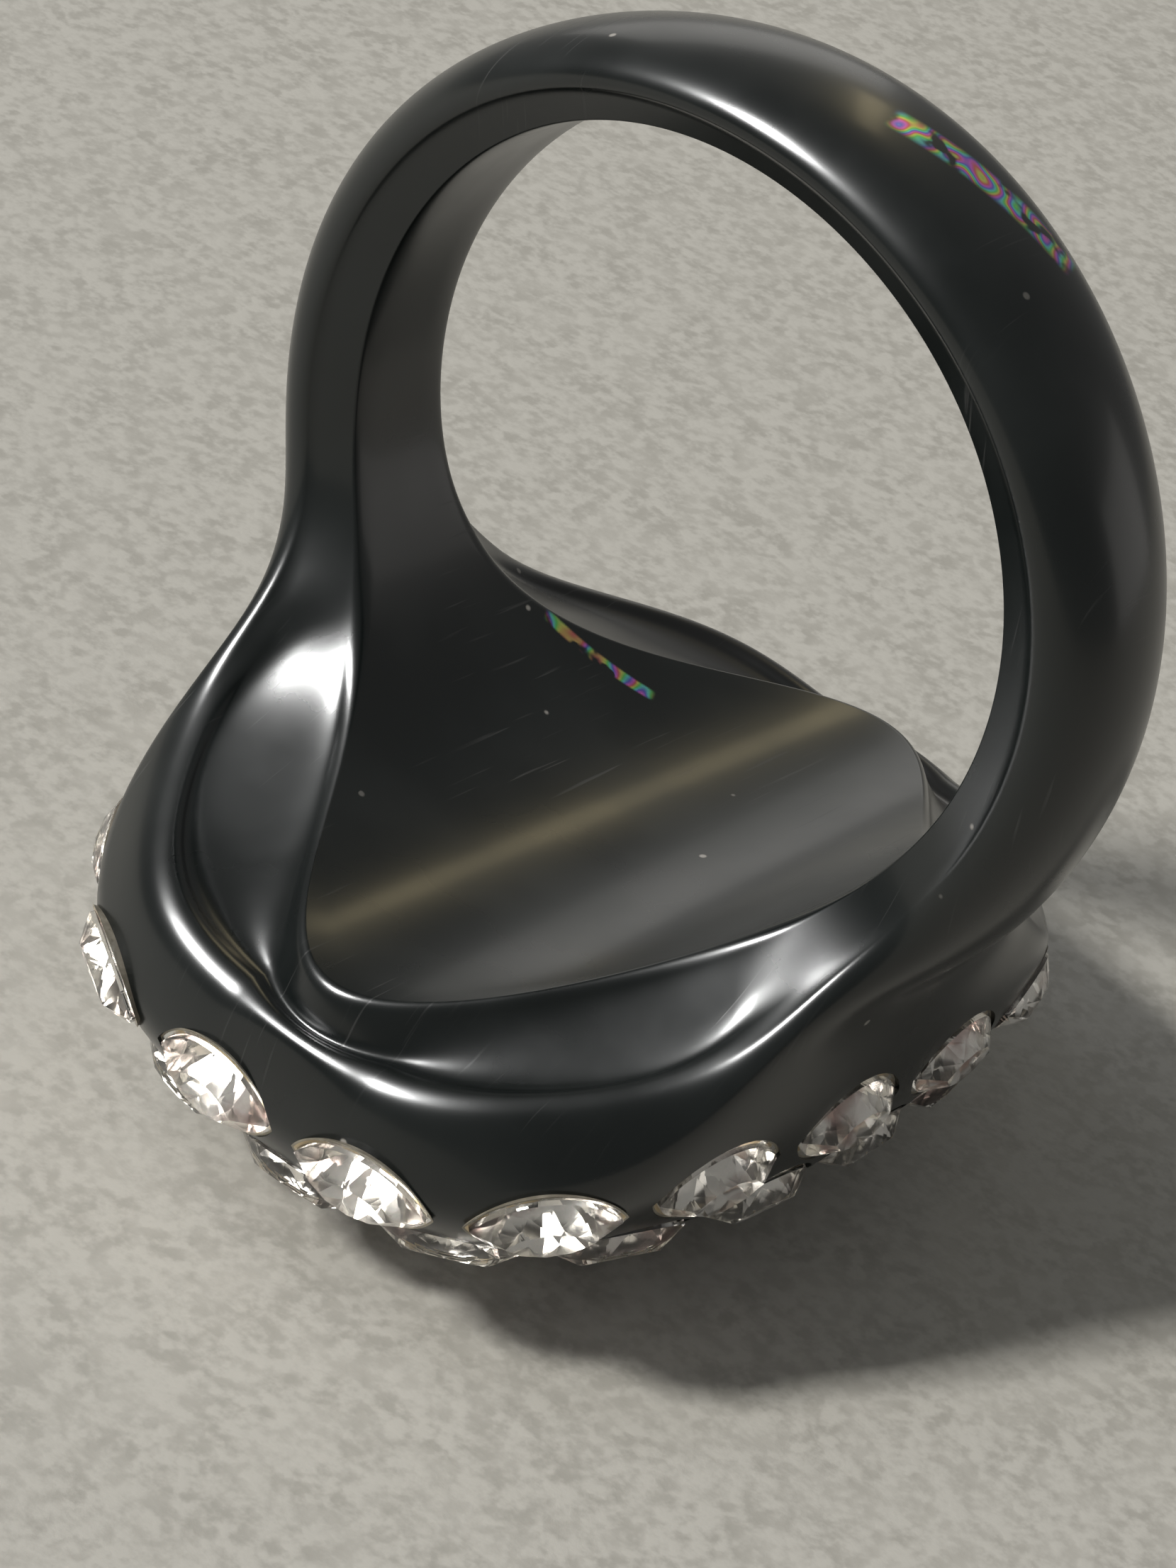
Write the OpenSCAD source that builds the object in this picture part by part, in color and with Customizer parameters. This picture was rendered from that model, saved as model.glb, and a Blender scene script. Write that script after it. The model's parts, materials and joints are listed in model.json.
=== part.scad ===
// Domed cocktail ring: one glossy black resin body with rows of foil-backed marquise stones cemented into
// pockets in its dome. The finger hole runs along Y, the domed head points down and the band stands
// above it. The origin is at the centre of the finger hole. Sizes are in millimetres, angles in degrees.

/* [Finger hole] */
// Radius of the finger hole, US size 7
bore_r = 8.65; // [8:0.05:9]

/* [Band] */
// Thickness of the band behind the finger
back_thick = 1.7; // [1.4:0.1:2.4]
// Thickness of the band beside the finger
side_thick = 2.5; // [1.8:0.1:2.8]
// Half width of the finger hole's edge behind the finger
back_half = 1.9; // [1.4:0.1:2.4]
// Half width of the finger hole's edge beside the finger
side_half = 1.4; // [1.2:0.1:2]
// How far the band's flank bulges past the hole's edge
flank_bulge = 0.55; // [0.4:0.05:0.8]

/* [Head] */
// Half length of the head along the finger
head_half = 11; // [10.8:0.1:11.4]
// Half width of the hole's edge in the middle of the head
head_edge_half = 9.8; // [9.5:0.1:10]
// Distance from the hole's axis to the crest of the rim
rim_drop = 9.4; // [9.3:0.1:9.6]
// Height of the rounded rim, from its crest down to the widest line of the head
rim_height = 2; // [1.8:0.1:2.1]
// Distance from the hole's axis to the bottom of the dome
dome_drop = 15.7; // [15.6:0.1:16]
// How much nearer to the hole's axis the dome would be on a level with that axis
dome_shallow = 9; // [8:0.5:10]
// Angle about the hole at which the head's length has mostly died into the band
head_spread = 46; // [44:1:48]
// Angle about the hole at which the dome's depth has mostly died into the band
dome_spread = 46; // [45:0.5:47]
// Angle about the hole at which the rim's crest has mostly died into the band
rim_spread = 48; // [46:1:50]
// Angle about the hole at which the scooped hole's edge has mostly narrowed
scoop_spread = 34; // [30:1:36]
// How far the scoops are turned about the hole, towards +X
scoop_turn = 3.5; // [0:0.5:5]
// How far in from the flank the rim rounds over
rim_round = 1.5; // [1.3:0.1:1.6]

/* [Stones] */
// Rows from the rim to the crown, each with its depth below the hole's axis, stones, length and width
rows = [[11.85, 16, 3.25, 2.1], [13.3, 16, 3.2, 1.75], [14.65, 10, 3.5, 2.1], [15.4, 6, 3.3, 2]];
// How much higher a row is at the sides of the head, over the radius of the hole
row_rise = 1.4; // [1:0.1:1.5]
// How far the rows are turned along themselves from the head's -Y tip, as a share of the gap between stones
row_turn = -0.22; // [-0.5:0.02:0.5]
// Length of the stone in the middle of the crown
middle_len = 3.7; // [3.4:0.1:3.8]
// Width of the stone in the middle of the crown
middle_wide = 2; // [1.8:0.1:2.2]
// Depth of the girdle under the surface at the middle of a stone
girdle_sink = 0.1; // [0:0.02:0.2]
// The same for the stone in the middle of the crown, deeper so that its neighbours share the load
middle_sink = 0.2; // [0.1:0.02:0.3]
// Thickness of the girdle
girdle_thick = 0.12; // [0.08:0.02:0.16]
// Height of the table above the middle of the girdle
crown_h = 0.45; // [0.35:0.05:0.55]
// Depth of the keel below the middle of the girdle
pavilion_h = 0.95; // [0.8:0.05:1.1]
// Thickness of the foil backing
foil_thick = 0.08; // [0.06:0.01:0.08]
// Thickness of the cement bed
cement_thick = 0.07; // [0.05:0.01:0.08]

/* [Hidden] */
// Sections round the hole, spline points per control point and points from the widest line to the middle
STATIONS = 64;
SPLINE_STEPS = 3;
DOME_STEPS = 10;
// Points round a stone's outline
FACETS = 10;
// Step in which a section leaves the hole's edge, along the hole and away from its axis
LEAD = [0.2, 0.4];
// Shares of the band's thickness from the hole to the flank's crest, and from there to the widest line
CREST_SHARE = 0.4;
WAIST_SHARE = 0.12;
// Shelf in front of the crest, as a share of the scoop's width: in the band and in the head
SHELF_SHARES = [0.5, 0.75];
// How much deeper than the crest the shelf starts in the head
SHELF_DIP = 0.35;
// The part of the shelf that is sloped off, and the slope's fall over its width
SLOPE_SHARE = 0.5;
SLOPE_FALL = 0.85;
// Length and width of a stone at its keel, half-way up its crown and at its table, as shares of its own
KEEL = [0.5, 0.14];
STAR = [0.86, 0.82];
TABLE = [0.62, 0.56];
ROW_NAMES = ["rim", "second", "third", "crown"];
function two_digits(i) = str(i < 10 ? "0" : "", i);
function stone_name(row, i) = str("stone_", ROW_NAMES[row], "_", two_digits(i + 1));

// ---- Curves that drive the body: each is measured at an angle a about the hole, 0 in the middle of
// the head and 180 behind the finger. All are the same on both sides except the hole's edge, which takes
// an angle that is negative on the -X side.

// Falls from 1 in the middle of the head towards 0 past the spread
function bell(a, spread, power) = exp(-pow(a / spread, power));
function ease(x) = let (t = min(max(x, 0), 1)) t * t * (3 - 2 * t);
function mix(p, q, t) = p + (q - p) * t;
function backness(a) = ease((a - 90) / 90);
function headness(a) = bell(a, dome_spread, 8);
function band_thick(a) = mix(side_thick, back_thick, backness(a));
function band_edge(a) = mix(side_half, back_half, backness(a));
function edge_half(a) = mix(band_edge(abs(a)), head_edge_half, bell(abs(a - scoop_turn), scoop_spread, 2));
function flank_half(a) = mix(band_edge(a) + flank_bulge, head_half, bell(a, head_spread, 4));
function outer_r(a) = mix(bore_r + band_thick(a), dome_drop - dome_shallow * pow(sin(a), 4), headness(a));
function crest_r(a) = mix(
    bore_r + CREST_SHARE * band_thick(a), rim_drop / sqrt(cos(min(a, 60))), bell(a, rim_spread, 5));
function waist_r(a) = crest_r(a) + mix(WAIST_SHARE * band_thick(a), rim_height, headness(a));

// ---- Body

// Quadratic spline through the middles of a list of control points
function spline(c, steps) = [for (i = [1:len(c) - 2], k = [0:steps - 1])
    let (t = k / steps, p = (c[i - 1] + c[i]) / 2, q = (c[i] + c[i + 1]) / 2)
    mix(mix(p, c[i], t), mix(c[i], q, t), t)];

// Half of a section through the hole's axis, from inside the hole round to the outer middle,
// as [distance along the axis, distance from the axis]. In the head a shelf runs from the hole's edge to a
// crested lip; in the band both die into a plain bevel.
function half_section(a) = let (
        side = abs(a), head = headness(side),
        w = flank_half(side), m = waist_r(side), c = crest_r(side), o = outer_r(side),
        edge = [edge_half(a), bore_r],
        shelf = min(rim_round, mix(SHELF_SHARES[0], SHELF_SHARES[1], head) * (w - edge[0])),
        slope = SLOPE_SHARE * shelf,
        bevel = (m - bore_r) / (w - edge[0]),
        brink = mix(m - bevel * shelf, c + SHELF_DIP, head),
        lip = mix(m - bevel * slope, c, head),
        foot = mix((lip + m) / 2, c + SLOPE_FALL * slope, head))
    concat(
        [edge - 2.5 * LEAD],
        spline([edge - 1.5 * LEAD, edge + 0.5 * LEAD, [w - shelf, brink], [w - slope, lip], [w, foot],
            [w, 2 * m - foot]], SPLINE_STEPS),
        [for (k = [0:DOME_STEPS - 1]) let (t = 90 * k / DOME_STEPS) [w * cos(t), m + (o - m) * sin(t)]],
        [[0, o]]);

function section(a) = let (h = half_section(a))
    concat(h, [for (i = [len(h) - 2:-1:0]) [-h[i][0], h[i][1]]]);

// Closed loop of sections swept round the hole
module loft() {
    rings = [for (i = [0:STATIONS - 1]) let (a = 360 * i / STATIONS)
        [for (p = section(a < 180 ? a : a - 360)) [p[1] * sin(a), p[0], -p[1] * cos(a)]]];
    n = len(rings[0]);
    polyhedron(
        points = [for (ring = rings, p = ring) p],
        faces = [for (i = [0:STATIONS - 1], j = [0:n - 1]) let (
                near = i * n, far = (i + 1) % STATIONS * n, next = (j + 1) % n)
            each [[near + j, near + next, far + next], [near + j, far + next, far + j]]]);
}

module ring_body() {
    color("#15171a")
    difference() {
        // resize() holds the band to its stated width across the finger
        resize([2 * (bore_r + side_thick), 0, 0])
        difference() {
            loft();
            for (row = [0:len(rows) - 1], i = [0:rows[row][1] - 1]) seat(row, i) pocket(row_size(row));
            middle_seat() pocket([middle_len, middle_wide]);
        }
        rotate([90, 0, 0])
        cylinder(r = bore_r, h = 2 * head_half + 4, center = true, $fn = 180);
    }
}

// ---- Places for the stones

// Positive for a point outside the outer surface of the body, negative inside
function beyond(p) = let (a = atan2(abs(p[0]), -p[2]), m = waist_r(a))
    pow(p[1] / flank_half(a), 2) + pow((norm([p[0], p[2]]) - m) / (outer_r(a) - m), 2) - 1;

// Point of a row's curved sheet at a plan angle and a distance from the middle: the sheet is at the row's
// depth along the finger's line and rises towards the sides
function on_sheet(phi, r, depth) =
    [r * cos(phi), r * sin(phi), row_rise * pow(r * cos(phi) / bore_r, 4) - depth];

// Where the sheet leaves the dome towards the plan angle phi, found by halving the gap between lo and hi
function reach(phi, depth, lo, hi, turns) = let (r = (lo + hi) / 2)
    turns == 0 ? r
    : beyond(on_sheet(phi, r, depth)) > 0 ? reach(phi, depth, lo, r, turns - 1)
    : reach(phi, depth, r, hi, turns - 1);

function on_dome(phi, depth) = on_sheet(phi, reach(phi, depth, 0, 1.2 * head_half, 16), depth);

// Unit vector straight out of the dome at a point on it
function outward(p, d = 0.01) = let (
        g = [for (e = [[d, 0, 0], [0, d, 0], [0, 0, d]]) beyond(p + e) - beyond(p - e)])
    g / norm(g);

// Plan angle against distance walked round the dome along a row, starting at the -Y tip
function walk(depth) = [for (phi = -90, s = 0; phi <= 270;
    s = s + norm(on_dome(phi + 5, depth) - on_dome(phi, depth)), phi = phi + 5) [s, phi]];
WALKS = [for (row = rows) walk(row[0])];

function row_size(row) = [rows[row][2], rows[row][3]];

// Puts its children on the dome at the i-th place of a row: X along the row, Z straight out.
// The stones of each row stand between those of the row before.
module seat(row, i) {
    steps = WALKS[row];
    around = steps[len(steps) - 1][0];
    s = (around + around * (i + (row % 2) / 2 + row_turn) / rows[row][1]) % around;
    phi = lookup(s, steps);
    p = on_dome(phi, rows[row][0]);
    n = outward(p);
    ahead = on_dome(phi + 1, rows[row][0]) - p;
    t = (ahead - (ahead * n) * n) / norm(ahead - (ahead * n) * n);
    b = cross(n, t);
    multmatrix([
        [t[0], b[0], n[0], p[0]],
        [t[1], b[1], n[1], p[1]],
        [t[2], b[2], n[2], p[2]]])
    translate([0, 0, -girdle_sink])
    children();
}

// Puts its children in the middle of the crown, X along the finger
module middle_seat() {
    translate([0, 0, -dome_drop])
    rotate([180, 0, 90])
    translate([0, 0, -middle_sink])
    children();
}

// ---- Stones, foils and cement: Z is 0 in the middle of the girdle

// A marquise of the given size, scaled and starting a share of a facet round
function marquise(size, share, shift, z) = let (
        arc_r = (pow(size[0], 2) + pow(size[1], 2)) / (4 * size[1]),
        half_angle = asin(size[0] / 2 / arc_r))
    [for (j = [0:FACETS - 1]) let (
            t = ((j + shift) / FACETS) % 1,
            side = t < 0.5 ? 1 : -1,
            g = half_angle * side * (1 - 4 * (t < 0.5 ? t : t - 0.5)))
        [share[0] * arc_r * sin(g), share[1] * side * (arc_r * cos(g) - arc_r + size[1] / 2), z]];

// Solid skin over rings of equal numbers of points, closed by the first and last rings. Every span is cut
// along the same diagonal, rising or falling, so that a cup's two sides fit what they touch.
module skin(rings) {
    n = len(rings[0]);
    last = (len(rings) - 1) * n;
    polyhedron(
        points = [for (ring = rings, p = ring) p],
        faces = concat(
            [[for (j = [0:n - 1]) j]],
            [for (i = [0:len(rings) - 2], j = [0:n - 1]) let (
                    a = i * n, b = a + n, next = (j + 1) % n,
                    falls = rings[i][0][2] > rings[i + 1][0][2])
                each falls ? [[a + j, b + j, b + next], [a + j, b + next, a + next]]
                    : [[a + j, b + j, a + next], [a + next, b + j, b + next]]],
            [[for (j = [n - 1:-1:0]) last + j]]));
}

function grown(size, by) = [size[0] + 2 * by, size[1] + 2 * by];

module stone(size) {
    color([0.92, 0.93, 0.95])
    skin([
        marquise(size, KEEL, 0, -pavilion_h),
        marquise(size, [1, 1], 0, -girdle_thick / 2),
        marquise(size, [1, 1], 0, girdle_thick / 2),
        marquise(size, STAR, 0.5, 0.6 * crown_h),
        marquise(size, TABLE, 1, crown_h)]);
}

// Thin cup under a stone's pavilion, lying a distance outside it and as thick as the second distance
module cup(size, inside, thick) {
    outside = inside + thick;
    skin([
        marquise(grown(size, outside), KEEL, 0, -pavilion_h - outside),
        marquise(grown(size, outside), [1, 1], 0, -girdle_thick / 2),
        marquise(grown(size, inside), [1, 1], 0, -girdle_thick / 2),
        marquise(grown(size, inside), KEEL, 0, -pavilion_h - inside)]);
}

module foil(size) {
    color("#b9bcc0")
    cup(size, 0, foil_thick);
}

module cement(size) {
    color("#8a8576")
    cup(size, foil_thick, cement_thick);
}

// What is cut from the body for a stone, its foil and its cement
module pocket(size) {
    gap = foil_thick + cement_thick;
    skin([
        marquise(grown(size, gap), KEEL, 0, -pavilion_h - gap),
        marquise(grown(size, gap), [1, 1], 0, -girdle_thick / 2),
        marquise(grown(size, gap), [1, 1], 0, pavilion_h)]);
}

module foils(row) {
    for (i = [0:rows[row][1] - 1]) seat(row, i) foil(row_size(row));
    if (row == len(rows) - 1) middle_seat() foil([middle_len, middle_wide]);
}

module cements(row) {
    for (i = [0:rows[row][1] - 1]) seat(row, i) cement(row_size(row));
    if (row == len(rows) - 1) middle_seat() cement([middle_len, middle_wide]);
}

ring_body();
middle_seat() stone([middle_len, middle_wide]);  // stone_middle
for (row = [0:len(rows) - 1]) {
    for (i = [0:rows[row][1] - 1])
        seat(row, i) stone(row_size(row));
    foils(row);
    cements(row);
}
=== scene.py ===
import json
import math

import bmesh
import bpy
import numpy as np
from mathutils import Matrix, Vector


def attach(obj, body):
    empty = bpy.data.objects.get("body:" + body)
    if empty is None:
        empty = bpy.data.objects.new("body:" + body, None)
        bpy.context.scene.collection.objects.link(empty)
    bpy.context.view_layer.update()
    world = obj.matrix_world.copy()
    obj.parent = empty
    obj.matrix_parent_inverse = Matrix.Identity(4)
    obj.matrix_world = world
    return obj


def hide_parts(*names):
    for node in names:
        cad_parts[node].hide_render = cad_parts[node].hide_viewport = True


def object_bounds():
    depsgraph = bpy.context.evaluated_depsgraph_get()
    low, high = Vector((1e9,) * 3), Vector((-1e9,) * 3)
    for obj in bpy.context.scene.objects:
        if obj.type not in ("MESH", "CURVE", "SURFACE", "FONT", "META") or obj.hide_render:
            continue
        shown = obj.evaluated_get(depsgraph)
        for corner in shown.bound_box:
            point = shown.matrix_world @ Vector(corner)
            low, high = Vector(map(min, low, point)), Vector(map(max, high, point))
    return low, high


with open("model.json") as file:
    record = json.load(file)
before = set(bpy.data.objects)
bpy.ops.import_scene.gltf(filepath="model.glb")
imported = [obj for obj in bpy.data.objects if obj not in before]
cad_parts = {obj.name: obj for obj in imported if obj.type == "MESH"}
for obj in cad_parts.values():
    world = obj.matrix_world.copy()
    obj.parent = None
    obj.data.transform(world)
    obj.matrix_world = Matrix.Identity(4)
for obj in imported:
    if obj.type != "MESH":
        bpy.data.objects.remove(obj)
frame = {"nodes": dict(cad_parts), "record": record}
CAD_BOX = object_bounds()
MM = 0.001

# ---- Driving sizes of the body, in millimetres. Angles are in degrees about the finger hole,
# 0 in the middle of the head and 180 behind the finger.
HOLE_R = frame["record"]["mounts"][0]["dims"]["r_mm"]
HEAD_HALF = 11.0
HEAD_EDGE_HALF = 9.8
RIM_DROP = 9.4
RIM_HEIGHT = 2.0
RIM_ROUND = 1.5
DOME_DROP = 15.7
DOME_SHALLOW = 9.0
BACK_THICK = 1.7
SIDE_THICK = 2.5
BACK_HALF = 1.9
SIDE_HALF = 1.4
FLANK_BULGE = 0.55
HEAD_SPREAD = 46
DOME_SPREAD = 46
RIM_SPREAD = 48
SCOOP_SPREAD = 34
LEAD = np.array([0.2, 0.5])
SCOOP_TURN = 3.5
CREST_SHARE = 0.4
WAIST_SHARE = 0.12
SHELF_SHARES = (0.5, 0.75)
SHELF_DIP = 0.35
SLOPE_SHARE = 0.5
SLOPE_FALL = 0.85
HEAD_EDGE_SOFT = 0.2
SIDE_EDGE_SOFT = 0.8
EDGE_SOFT_SPREAD = 60
BRINK_PULL = 0.3

# ---- The body's mesh: sections round the hole, points along one half of a section, and the angle in
# degrees past which an edge is sharp
STATIONS = 300
WALL_STEPS = 12
BEND_STEPS = (14, 12, 12, 12, 12)
DOME_STEPS = 57
SHARP_ANGLE = 32

# ---- Stones. Heights and thicknesses are in millimetres, outlines in shares of a stone's length and
# width, and levels in shares of the crown's height and the pavilion's depth.
GIRDLE_HALF = 0.06
PAVILION = 0.95
CAD_CROWN = 0.45
CROWN = 0.5
TABLE = (0.58, 0.5)
STAR = (0.82, 0.78)
CULET = (0.4, 0.1)
BELLY = (0.66, 0.6)
STAR_LEVEL = 0.52
BELLY_LEVEL = 0.42
SIDES = 8
OUTLINE_STEPS = 4
RIM_POINTS = 2 * SIDES * OUTLINE_STEPS
FOIL = 0.08
BED = 0.07
CUP_GAP = 0.004

ROWS = ("rim", "second", "third", "crown")


# ---- The body: a section swept round the finger hole

def bell(a, spread, power):
    return math.exp(-((a / spread) ** power))


def mix(p, q, t):
    return p + (q - p) * t


def ease(x):
    t = min(max(x, 0), 1)
    return t * t * (3 - 2 * t)


def section_sizes(a):
    """Half lengths of the hole's edge and of the flank, then the radii of the crest, the widest line and
    the outer middle."""
    side = abs(a)
    back = ease((side - 90) / 90)
    head = bell(side, DOME_SPREAD, 8)
    thick = mix(SIDE_THICK, BACK_THICK, back)
    band = mix(SIDE_HALF, BACK_HALF, back)
    edge = mix(band, HEAD_EDGE_HALF, bell(abs(a - SCOOP_TURN), SCOOP_SPREAD, 2))
    flank = mix(band + FLANK_BULGE, HEAD_HALF, bell(side, HEAD_SPREAD, 4))
    rim = RIM_DROP / math.sqrt(math.cos(math.radians(min(side, 60))))
    crest = mix(HOLE_R + CREST_SHARE * thick, rim, bell(side, RIM_SPREAD, 5))
    waist = crest + mix(WAIST_SHARE * thick, RIM_HEIGHT, head)
    dome = DOME_DROP - DOME_SHALLOW * math.sin(math.radians(side)) ** 4
    return edge, flank, crest, waist, mix(HOLE_R + thick, dome, head)


def curve(start, middle, end, steps):
    """Points of a quadratic curve, without its end."""
    t = np.arange(steps)[:, None] / steps
    return mix(mix(start, middle, t), mix(middle, end, t), t)


def half_section(a):
    """Points from the middle of the hole's wall to the outer middle, as (along the hole, radius)."""
    edge, flank, crest, waist, outer = section_sizes(a)
    head = bell(abs(a), DOME_SPREAD, 8)
    shelf = min(RIM_ROUND, mix(*SHELF_SHARES, head) * (flank - edge))
    slope = SLOPE_SHARE * shelf
    bevel = (waist - HOLE_R) / (flank - edge)
    lip = mix(waist - bevel * slope, crest, head)
    foot = mix((lip + waist) / 2, crest + SLOPE_FALL * slope, head)
    corner = np.array([edge, HOLE_R])
    brink = np.array([flank - shelf, mix(waist - bevel * shelf, crest + SHELF_DIP, head)])
    drop = mix(mix(corner, brink, BRINK_PULL), corner + LEAD, head)
    soft = mix(SIDE_EDGE_SOFT, HEAD_EDGE_SOFT, bell(abs(a), EDGE_SOFT_SPREAD, 4))
    wall_end = corner - np.array([soft, 0])
    guides = [
        corner,
        drop,
        brink,
        np.array([flank - slope, lip]),
        np.array([flank, foot]),
        np.array([flank, 2 * waist - foot]),
    ]
    joins = [wall_end] + [(p + q) / 2 for p, q in zip(guides, guides[1:])]
    swing = np.radians(np.linspace(0, 90, DOME_STEPS))[:, None]
    dome = np.hstack([flank * np.cos(swing), waist + (outer - waist) * np.sin(swing)])
    wall = np.array([0, HOLE_R])
    hole = curve(wall, (wall + wall_end) / 2, wall_end, WALL_STEPS)
    bends = [curve(joins[i], guides[i], joins[i + 1], steps) for i, steps in enumerate(BEND_STEPS)]
    return np.vstack([hole] + bends + [dome])


def body_mesh():
    """The whole body as one closed sheet of quads."""
    rings = []
    for station in range(STATIONS):
        a = 360 * station / STATIONS
        half = half_section(a if a < 180 else a - 360)
        whole = np.vstack([half, half[-2:0:-1] * [-1, 1]])
        turn = math.radians(a)
        rings.append(np.column_stack([
            whole[:, 1] * math.sin(turn), whole[:, 0], -whole[:, 1] * math.cos(turn)]))
    count = len(rings[0])
    ring, step = np.meshgrid(np.arange(STATIONS), np.arange(count), indexing="ij")
    far = (ring + 1) % STATIONS * count
    near = ring * count
    following = (step + 1) % count
    quads = np.stack([near + step, far + step, far + following, near + following], -1)
    return np.vstack(rings) * MM, quads.reshape(-1, 4)


# ---- Objects

def add_object(name, points, faces, materials):
    mesh = bpy.data.meshes.new(name)
    mesh.from_pydata([tuple(p) for p in points], [], [tuple(map(int, f)) for f in faces])
    mesh.validate()
    obj = bpy.data.objects.new(name, mesh)
    bpy.context.scene.collection.objects.link(obj)
    for material in materials:
        mesh.materials.append(material)
    return obj


def face_outwards(obj):
    bm = bmesh.new()
    bm.from_mesh(obj.data)
    bmesh.ops.recalc_face_normals(bm, faces=bm.faces)
    bm.to_mesh(obj.data)
    bm.free()


# ---- Stones

class Seat:
    """A stone's place, read from its CAD node: X along the stone, Z out of the head.

    Its size is in millimetres."""

    def __init__(self, node):
        mesh = frame["nodes"][node].data
        table = {}
        for face in mesh.polygons:
            key = tuple(round(x, 2) for x in face.normal)
            table[key] = table.get(key, 0) + face.area
        out = Vector(max(table, key=table.get)).normalized()
        points = np.array([v.co for v in mesh.vertices])
        height = points @ np.array(out)
        flat = points - np.outer(height, np.array(out))
        middle = flat.mean(0)
        tip = flat[np.argmax(np.linalg.norm(flat - middle, axis=1))]
        other = flat[np.argmax(np.linalg.norm(flat - tip, axis=1))]
        along = Vector(tip - other).normalized()
        across = out.cross(along)
        place = Vector((tip + other) / 2) + out * (height.max() - CAD_CROWN * MM)
        self.matrix = Matrix((along, across, out)).transposed().to_4x4()
        self.matrix.translation = place
        spread = flat @ np.array(across)
        self.size = (np.linalg.norm(tip - other) / MM, (spread.max() - spread.min()) / MM)


def outline(size, t):
    """Point of a pointed oval between two arcs, t from 0 to 1 round it."""
    length, width = size
    radius = (length**2 + width**2) / (4 * width)
    swing = math.asin(length / 2 / radius)
    t = t % 1
    side = 1 if t < 0.5 else -1
    g = swing * side * (1 - 4 * (t % 0.5))
    return radius * math.sin(g), side * (radius * math.cos(g) - radius + width / 2)


def outline_ring(size, count, share=(1, 1), shift=0.0, z=0.0):
    """Ring of points of an outline at one height, drawn in by a share of its length and width."""
    ring = [outline(size, (i + shift) / count) for i in range(count)]
    return [(share[0] * x, share[1] * y, z) for x, y in ring]


def gem_faces(size):
    """A marquise cut: a table, stars, kites and the facets over the girdle, and the same below."""
    points = outline_ring(size, SIDES, TABLE, 0, CROWN)
    points += outline_ring(size, SIDES, STAR, 0.5, STAR_LEVEL * CROWN)
    points += outline_ring(size, RIM_POINTS, z=GIRDLE_HALF)
    points += outline_ring(size, RIM_POINTS, z=-GIRDLE_HALF)
    points += outline_ring(size, SIDES, BELLY, 0.5, -BELLY_LEVEL * PAVILION)
    points += outline_ring(size, SIDES, CULET, 0, -PAVILION)
    table, star, top = 0, SIDES, 2 * SIDES
    low = top + RIM_POINTS
    belly = low + RIM_POINTS
    culet = belly + SIDES
    crown = [[table + k for k in range(SIDES)]]
    back = [[culet + k for k in reversed(range(SIDES))]]
    for k in range(SIDES):
        after, before = (k + 1) % SIDES, (k - 1) % SIDES
        at = 2 * OUTLINE_STEPS * k
        crown.append([table + k, star + k, table + after])
        crown.append([table + k, star + before, top + at, star + k])
        back.append([culet + after, belly + k, culet + k])
        back.append([culet + k, belly + k, low + at, belly + before])
        for i in range(2 * OUTLINE_STEPS):
            here, there = at + i, (at + i + 1) % RIM_POINTS
            crown.append([star + k, top + here, top + there])
            back.append([belly + k, low + there, low + here])
    girdle = []
    for i in range(RIM_POINTS):
        following = (i + 1) % RIM_POINTS
        girdle.append([top + i, low + i, low + following, top + following])
    return points, crown, girdle, back


def add_gem(name, node, seat):
    points, crown, girdle, back = gem_faces(seat.size)
    gem = add_object(name, np.array(points) * MM, crown + girdle + back,
                     [MATERIALS["crystal"], MATERIALS["silvered"]])
    for face in gem.data.polygons[len(crown) + len(girdle):]:
        face.material_index = 1
    gem.data.transform(seat.matrix)
    face_outwards(gem)
    finish_piece(gem, "stone", node)


def back_rings(size, grow):
    """Rings of a stone's back from its culet up to its girdle, grown by a distance."""
    grown = (size[0] + 2 * grow, size[1] + 2 * grow)
    return [
        outline_ring(grown, RIM_POINTS, CULET, 0, -PAVILION - grow),
        outline_ring(grown, RIM_POINTS, z=-GIRDLE_HALF),
    ]


def cup_mesh(size, inside, thick):
    """Thin cup under a stone's back, lying a distance outside it."""
    inner = back_rings(size, inside)
    outer = back_rings(size, inside + thick)
    return skin(inner + outer[::-1])


def foil_cup(size):
    """The foil, a gap away from the stone."""
    return cup_mesh(size, CUP_GAP, FOIL)


def cement_cup(size):
    """The cement, a gap away from the foil and another from the pocket."""
    return cup_mesh(size, FOIL + 2 * CUP_GAP, BED - 3 * CUP_GAP)


def pocket_mesh(size):
    """What is cut from the body for a stone, its foil and its bed."""
    rings = back_rings(size, FOIL + BED)
    mouth = [(x, y, PAVILION) for x, y, _ in rings[-1]]
    return skin(rings + [mouth])


def skin(rings):
    """Closed solid through rings of equal numbers of points."""
    count = len(rings[0])
    points = [p for ring in rings for p in ring]
    faces = [list(range(count)), list(range(len(points) - count, len(points)))]
    for level in range(len(rings) - 1):
        for j in range(count):
            a, b = level * count + j, level * count + (j + 1) % count
            faces.append([a, b, b + count, a + count])
    return points, faces


def add_group(name, seats, shape, material):
    """One object of the same shape at many seats."""
    points, faces = [], []
    for seat in seats:
        local, local_faces = shape(seat.size)
        first = len(points)
        points += [seat.matrix @ (Vector(p) * MM) for p in local]
        faces += [[first + i for i in face] for face in local_faces]
    obj = add_object(name, points, faces, [material])
    face_outwards(obj)
    return obj


def finish_piece(obj, slot, *nodes):
    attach(obj, "root")
    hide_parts(*nodes)


# ---- Materials

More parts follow.
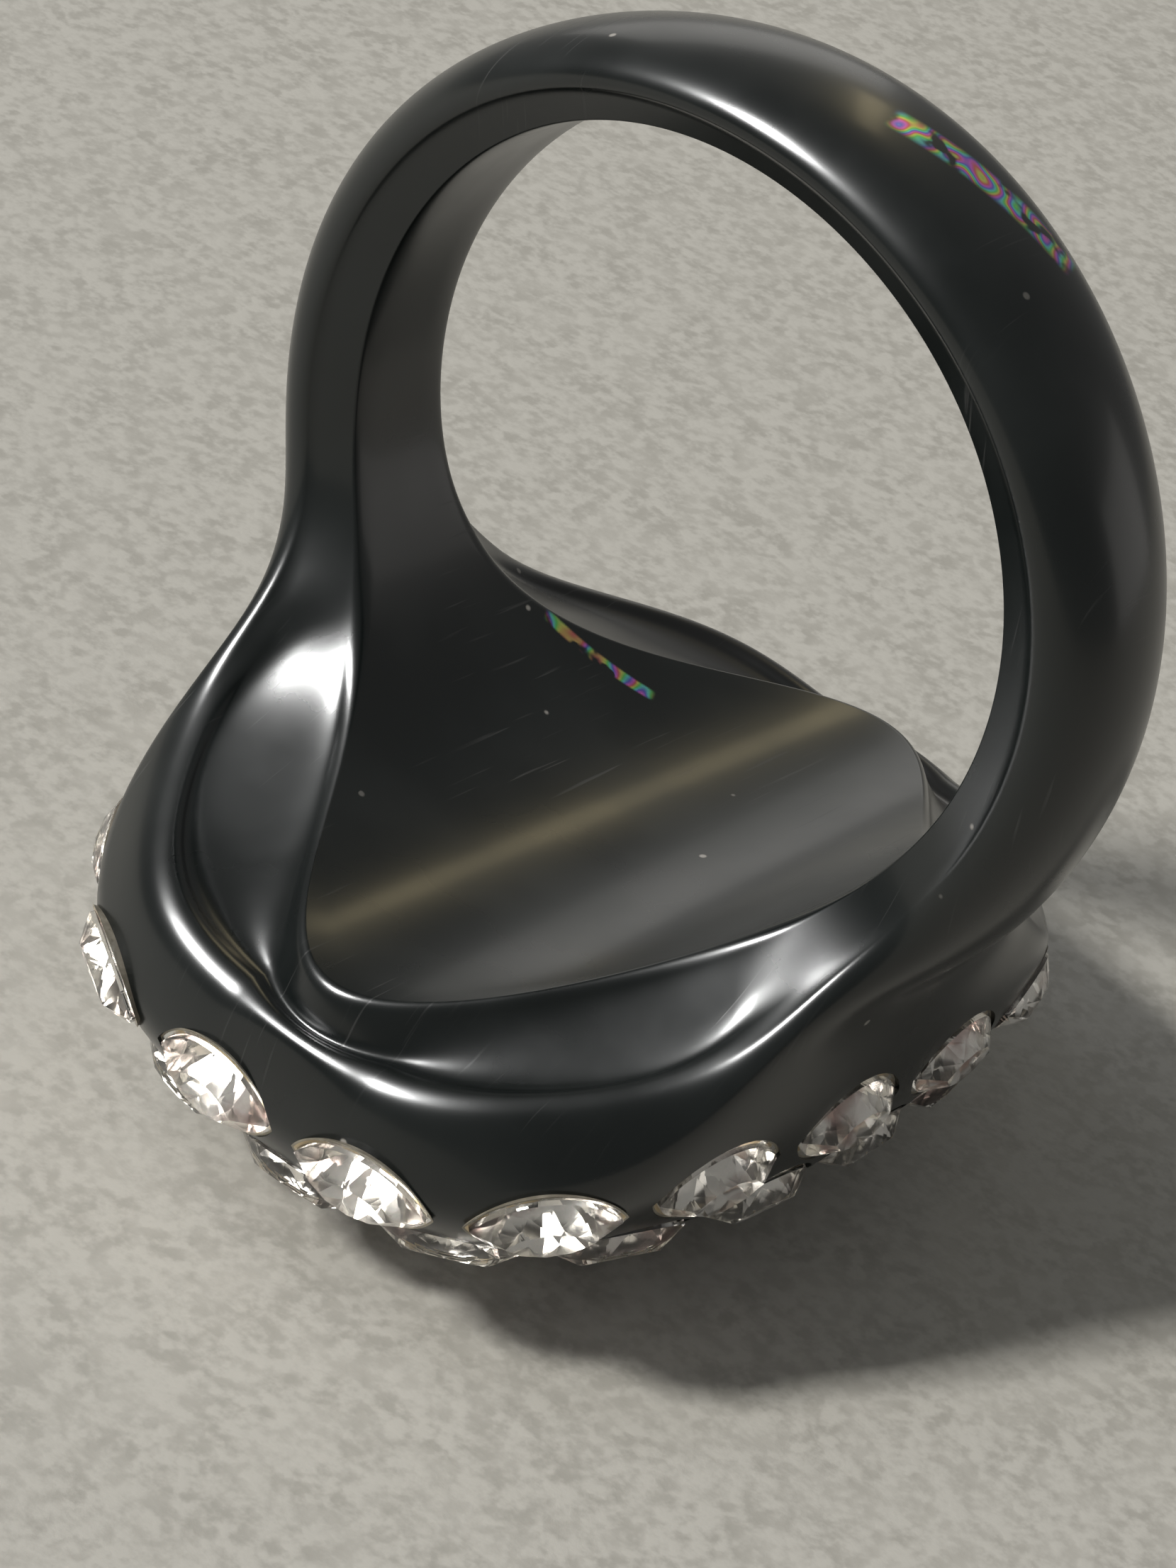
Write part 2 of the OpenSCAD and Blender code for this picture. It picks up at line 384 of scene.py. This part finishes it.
class Nodes:
    """Builds a material's node tree. Textures are placed in the object's own metres."""

    def __init__(self, name):
        self.material = bpy.data.materials.new(name)
        self.material.use_nodes = True
        self.tree = self.material.node_tree
        self.shader = self.tree.nodes["Principled BSDF"]
        self.place = self.add("ShaderNodeTexCoord").outputs["Object"]

    def add(self, kind, **values):
        node = self.tree.nodes.new(kind)
        for key, value in values.items():
            setattr(node, key, value)
        return node

    def link(self, source, target):
        self.tree.links.new(source, target)

    def set(self, **values):
        for key, value in values.items():
            self.shader.inputs[key.replace("_", " ")].default_value = value

    def stretched(self, turn, scale):
        mapping = self.add("ShaderNodeMapping")
        mapping.inputs["Rotation"].default_value = turn
        mapping.inputs["Scale"].default_value = scale
        self.link(self.place, mapping.inputs["Vector"])
        return mapping.outputs["Vector"]

    def noise(self, scale, detail, place=None):
        noise = self.add("ShaderNodeTexNoise")
        noise.inputs["Scale"].default_value = scale
        noise.inputs["Detail"].default_value = detail
        self.link(place or self.place, noise.inputs["Vector"])
        return noise.outputs["Fac"]

    def cells(self, scale):
        cells = self.add("ShaderNodeTexVoronoi")
        cells.inputs["Scale"].default_value = scale
        self.link(self.place, cells.inputs["Vector"])
        return cells.outputs["Distance"], cells.outputs["Color"]

    def span(self, source, low, high, to_low=0.0, to_high=1.0):
        span = self.add("ShaderNodeMapRange", interpolation_type="SMOOTHSTEP")
        span.inputs["From Min"].default_value = low
        span.inputs["From Max"].default_value = high
        span.inputs["To Min"].default_value = to_low
        span.inputs["To Max"].default_value = to_high
        self.link(source, span.inputs["Value"])
        return span.outputs["Result"]

    def math(self, operation, first, second):
        node = self.add("ShaderNodeMath", operation=operation)
        for socket, value in zip(node.inputs, (first, second)):
            if isinstance(value, (int, float)):
                socket.default_value = value
            else:
                self.link(value, socket)
        return node.outputs["Value"]

    def streak(self, start, end, half_width, levels):
        """1 along a line seen down the Z axis, fading at its sides, and only between two levels of Z.

        The ends are (x, y), and like the half width and the levels they are in millimetres."""
        start, end = Vector(start) * MM, Vector(end) * MM
        along = (end - start).normalized()
        axes = self.add("ShaderNodeSeparateXYZ")
        self.link(self.place, axes.inputs[0])
        x = self.math("SUBTRACT", axes.outputs["X"], start.x)
        y = self.math("SUBTRACT", axes.outputs["Y"], start.y)
        run = self.math("ADD", self.math("MULTIPLY", x, along.x), self.math("MULTIPLY", y, along.y))
        off = self.math("SUBTRACT", self.math("MULTIPLY", y, along.x), self.math("MULTIPLY", x, along.y))
        off = self.span(self.math("ABSOLUTE", off, 0.0), half_width * MM, 0.3 * half_width * MM)
        fade = 0.3 * MM
        length = (end - start).length
        ends = self.math("MULTIPLY", self.span(run, 0.0, fade), self.span(run, length, length - fade))
        low, high = levels
        level = self.math("COMPARE", axes.outputs["Z"], (low + high) / 2 * MM)
        level.node.inputs[2].default_value = (high - low) / 2 * MM
        return self.math("MULTIPLY", self.math("MULTIPLY", off, ends), level)

    def blend(self, share, first, second):
        node = self.add("ShaderNodeMix", data_type="RGBA")
        for index, value in ((0, share), (6, first), (7, second)):
            socket = node.inputs[index]
            if isinstance(value, (tuple, float)):
                socket.default_value = value
            else:
                self.link(value, socket)
        return node.outputs[2]

    def bump(self, height, strength, distance):
        bump = self.add("ShaderNodeBump")
        bump.inputs["Strength"].default_value = strength
        bump.inputs["Distance"].default_value = distance
        self.link(height, bump.inputs["Height"])
        self.link(bump.outputs["Normal"], self.shader.inputs["Normal"])


def hairlines(n):
    """Mask of fine scratches in three directions, left only in patches."""
    directions = (((0.3, 0.9, 0.2), 9000.0), ((1.2, 0.1, 0.8), 7000.0), ((0.7, 1.6, 2.2), 8000.0))
    mask = None
    for turn, density in directions:
        line = n.noise(1.0, 2.0, n.stretched(turn, (density, 260.0, 260.0)))
        line = n.span(line, 0.68, 0.76)
        mask = line if mask is None else n.math("MAXIMUM", mask, line)
    return n.math("MULTIPLY", mask, n.span(n.noise(150.0, 2.0), 0.48, 0.62))


def specks(n):
    """Mask of scattered dust: the middles of a few cells picked by their colour."""
    distance, colour = n.cells(1500.0)
    picked = n.add("ShaderNodeSeparateColor")
    n.link(colour, picked.inputs["Color"])
    return n.math("MULTIPLY", n.span(distance, 0.16, 0.08), n.span(picked.outputs["Red"], 0.97, 0.98))


def painted_rainbow_glints(n):
    """Mask and colour of painted rainbow glints in two streaks, broken into spots: the band's outside
    and the back edge of the hole.
    """
    on_band = n.streak((1.4, 0.0), (5.8, 1.4), 0.5, (8, 11))
    in_hole = n.streak((-5.2, 3.15), (-2.6, 4.7), 0.2, (-9, -6))
    broken_up = n.span(n.noise(1500.0, 2.0), 0.36, 0.5)
    mask = n.math("MULTIPLY", n.math("MAXIMUM", on_band, in_hole), broken_up)
    hue = n.add("ShaderNodeCombineColor", mode="HSV")
    n.link(n.math("FRACT", n.math("MULTIPLY", n.noise(900.0, 1.0), 7.0), 0.0), hue.inputs["Red"])
    hue.inputs["Green"].default_value = 0.75
    hue.inputs["Blue"].default_value = 0.9
    return mask, hue.outputs["Color"]


def resin():
    """Polished black resin with dull patches, scratches, dust and two streaks of painted rainbow glints.
    """
    n = Nodes("black_resin")
    n.set(IOR=1.5, Coat_Weight=0.25, Coat_Roughness=0.14, Coat_IOR=1.5)
    patches = n.noise(260.0, 5.0)
    scratches = hairlines(n)
    dust = specks(n)
    glint_paint, glint_colour = painted_rainbow_glints(n)
    tone = n.blend(n.span(patches, 0.35, 0.7), (0.0015, 0.0035, 0.0035, 1), (0.004, 0.0065, 0.0065, 1))
    tone = n.blend(n.math("MULTIPLY", scratches, 0.25), tone, (0.1, 0.1, 0.1, 1))
    tone = n.blend(n.math("MULTIPLY", dust, 0.7), tone, (0.45, 0.43, 0.4, 1))
    # Painted glints: in two streaks the resin turns to rainbow-coloured metal, standing in for glints.
    n.link(n.blend(glint_paint, tone, glint_colour), n.shader.inputs["Base Color"])
    n.link(glint_paint, n.shader.inputs["Metallic"])
    rough = n.span(patches, 0.3, 0.75, 0.26, 0.36)
    rough = n.math("ADD", rough, n.math("MULTIPLY", scratches, 0.12))
    rough = n.math("ADD", rough, n.math("MULTIPLY", dust, 0.4))
    n.link(rough, n.shader.inputs["Roughness"])
    ripple = n.math("MULTIPLY", n.noise(900.0, 3.0), 0.25)
    n.bump(n.math("SUBTRACT", ripple, n.math("MULTIPLY", scratches, 0.3)), 0.12, 0.00002)
    return n.material


def crystal():
    """Clear cut glass with a breath of warmth and a few smudges."""
    n = Nodes("cut_crystal")
    n.set(IOR=1.58, Transmission_Weight=1.0)
    smudge = n.noise(1400.0, 3.0)
    n.link(n.blend(n.span(smudge, 0.4, 0.7), (1.0, 0.985, 0.955, 1), (0.97, 0.96, 0.95, 1)),
           n.shader.inputs["Base Color"])
    n.link(n.span(smudge, 0.5, 0.75, 0.0, 0.06), n.shader.inputs["Roughness"])
    return n.material


def silvered():
    """The silvered back of a stone, seen through the glass."""
    n = Nodes("silvered_back")
    n.set(Metallic=1.0)
    cloud = n.noise(650.0, 3.0)
    n.link(n.blend(n.span(cloud, 0.5, 0.66), (0.98, 0.96, 0.92, 1), (0.5, 0.37, 0.34, 1)),
           n.shader.inputs["Base Color"])
    n.link(n.span(cloud, 0.35, 0.75, 0.12, 0.22), n.shader.inputs["Roughness"])
    return n.material


def foil():
    """The outside of the foil: silver with a worn gold lacquer."""
    n = Nodes("foil_lacquer")
    n.set(Metallic=1.0)
    wear = n.noise(1800.0, 5.0)
    n.link(n.blend(n.span(wear, 0.4, 0.6), (0.78, 0.77, 0.74, 1), (0.62, 0.5, 0.32, 1)),
           n.shader.inputs["Base Color"])
    n.link(n.span(wear, 0.3, 0.7, 0.18, 0.4), n.shader.inputs["Roughness"])
    n.bump(n.noise(5000.0, 2.0), 0.2, 0.00001)
    return n.material


def cement():
    """Hardened dull yellowish cement with small bubbles."""
    n = Nodes("cement")
    lumps = n.noise(2200.0, 4.0)
    bubbles, _ = n.cells(6000.0)
    n.link(n.blend(n.span(lumps, 0.35, 0.7), (0.2, 0.18, 0.14, 1), (0.34, 0.31, 0.25, 1)),
           n.shader.inputs["Base Color"])
    n.link(n.span(lumps, 0.3, 0.7, 0.35, 0.6), n.shader.inputs["Roughness"])
    n.bump(n.span(bubbles, 0.1, 0.3), 0.3, 0.00002)
    return n.material


def paper():
    """Plain pale table top with a fine warm-grey mottle."""
    n = Nodes("table_top")
    fine = n.noise(2600.0, 3.0)
    broad = n.noise(700.0, 3.0)
    tone = n.blend(n.span(fine, 0.35, 0.65), (0.42, 0.41, 0.375, 1), (0.55, 0.54, 0.5, 1))
    tone = n.blend(n.math("MULTIPLY", n.span(broad, 0.35, 0.68), 0.5), tone, (0.56, 0.55, 0.51, 1))
    n.link(tone, n.shader.inputs["Base Color"])
    n.link(n.span(fine, 0.3, 0.7, 0.6, 0.85), n.shader.inputs["Roughness"])
    n.bump(fine, 0.25, 0.00006)
    return n.material


MATERIALS = {
    "resin": resin(),
    "crystal": crystal(),
    "silvered": silvered(),
    "foil": foil(),
    "cement": cement(),
    "paper": paper(),
}


# ---- The ring

def row_nodes(row):
    return sorted(n for n in frame["nodes"] if n.startswith(f"stone_{row}_"))


def add_body(seats):
    """The resin body, with the stones' pockets cut from it."""
    body = add_object("resin_body", *body_mesh(), [MATERIALS["resin"]])
    face_outwards(body)
    pockets = add_group("pockets", seats, pocket_mesh, MATERIALS["resin"])
    cut = body.modifiers.new("pockets", "BOOLEAN")
    cut.operation = "DIFFERENCE"
    cut.solver = "MANIFOLD"
    cut.object = pockets
    bpy.context.view_layer.objects.active = body
    bpy.ops.object.modifier_apply(modifier=cut.name)
    bpy.data.objects.remove(pockets)
    body.data.shade_smooth()
    body.data.set_sharp_from_angle(angle=math.radians(SHARP_ANGLE))
    finish_piece(body, "body", "ring_body")


def add_cups(row, seats):
    """The foil and the cement of one row, each as one piece."""
    for name, slot, shape in (("silver_back", "foil", foil_cup), ("cement_bed", "cement", cement_cup)):
        cups = add_group(f"{name}_{row}", seats, shape, MATERIALS[slot])
        finish_piece(cups, slot, f"{slot}_{row}")


def build_ring():
    seats = {}
    for row in ROWS:
        for node in row_nodes(row):
            seats[node] = Seat(node)
    seats["stone_middle"] = Seat("stone_middle")

    add_body(seats.values())
    for node, seat in seats.items():
        add_gem(node.replace("stone", "gem"), node, seat)
    for row in ROWS:
        own = [seats[node] for node in row_nodes(row)]
        if row == ROWS[-1]:
            own.append(seats["stone_middle"])
        add_cups(row, own)


build_ring()


# ---- Camera, floor and light

FLOOR_Z = CAD_BOX[0][2]
AZIMUTH = math.radians(31.3)
ELEVATION = math.radians(32.9)
ROLL = math.radians(16.8)
FOCUS = Vector((-0.6, -0.36, -7.6)) * MM
DISTANCE = 109.9 * MM
SENSOR = 36
LENS = 113.9
FLOOR_HALF = 0.6
BACKGROUND = (0.175, 0.174, 0.168, 1)

# Each light's name, direction from the ring, distance and size in metres, brightness, colour, and the
# kinds of ray that pass it by. The floor is lit by the key and the background, and the other lights show
# in reflections. The sparkle shows only through the stones.
LIGHTS = (
    ("key", (-0.39, -0.66, 0.65), 2.0, (0.26, 0.26), 178, (1.0, 0.97, 0.92), "glossy"),
    ("ceiling", (-0.45, -0.4, 0.8), 0.5, (0.14, 0.14), 105, (1.0, 1.0, 0.99), "diffuse"),
    ("right_wall", (0.69, 0.71, 0.14), 0.8, (0.5, 0.4), 0.55, (1.0, 0.97, 0.92), "diffuse"),
    ("back_wall", (-0.62, 0.74, 0.22), 0.8, (0.4, 0.25), 0.75, (1.0, 0.98, 0.93), "diffuse"),
    ("warm_strip", (-0.36, 0.73, 0.58), 0.6, (0.035, 0.2), 3.2, (1.0, 0.84, 0.5), "diffuse"),
    ("sparkle", (-0.25, -0.85, 0.45), 0.5, (0.5, 0.4), 30.0, (1.0, 0.98, 0.95), "diffuse glossy"),
)


def camera_matrix():
    back = Vector((math.sin(AZIMUTH) * math.cos(ELEVATION), -math.cos(AZIMUTH) * math.cos(ELEVATION),
                   math.sin(ELEVATION)))
    right = Vector((math.cos(AZIMUTH), math.sin(AZIMUTH), 0))
    up = back.cross(right)
    rolled_right = math.cos(ROLL) * right + math.sin(ROLL) * up
    rolled_up = math.cos(ROLL) * up - math.sin(ROLL) * right
    matrix = Matrix((rolled_right, rolled_up, back)).transposed().to_4x4()
    matrix.translation = FOCUS + back * DISTANCE
    return matrix


def add_camera():
    data = bpy.data.cameras.new("camera")
    data.sensor_width = SENSOR
    data.lens = LENS
    data.clip_start = 0.005
    data.clip_end = 10
    camera = bpy.data.objects.new("camera", data)
    camera.matrix_world = camera_matrix()
    bpy.context.scene.collection.objects.link(camera)
    bpy.context.scene.camera = camera


def add_panel(name, towards, distance, size, radiance, colour, hidden):
    """Rectangular light facing the ring. radiance is the panel's own brightness, whatever its size."""
    data = bpy.data.lights.new(name, "AREA")
    data.shape = "RECTANGLE"
    data.size, data.size_y = size
    data.color = colour
    data.energy = radiance * math.pi * size[0] * size[1]
    panel = bpy.data.objects.new(name, data)
    direction = Vector(towards).normalized()
    panel.rotation_euler = direction.to_track_quat("Z", "Y").to_euler()
    panel.location = direction * distance
    panel.visible_glossy = "glossy" not in hidden
    panel.visible_diffuse = "diffuse" not in hidden
    bpy.context.scene.collection.objects.link(panel)


def add_lights():
    for light in LIGHTS:
        add_panel(*light)
    world = bpy.data.worlds.new("world")
    world.use_nodes = True
    world.node_tree.nodes["Background"].inputs["Color"].default_value = BACKGROUND
    bpy.context.scene.world = world
    bpy.context.scene.view_settings.view_transform = "Standard"


def add_floor():
    signs = ((-1, -1), (1, -1), (1, 1), (-1, 1))
    corners = [(FLOOR_HALF * x, FLOOR_HALF * y, FLOOR_Z) for x, y in signs]
    floor = add_object("table", corners, [(0, 1, 2, 3)], [MATERIALS["paper"]])


add_camera()
add_floor()
add_lights()
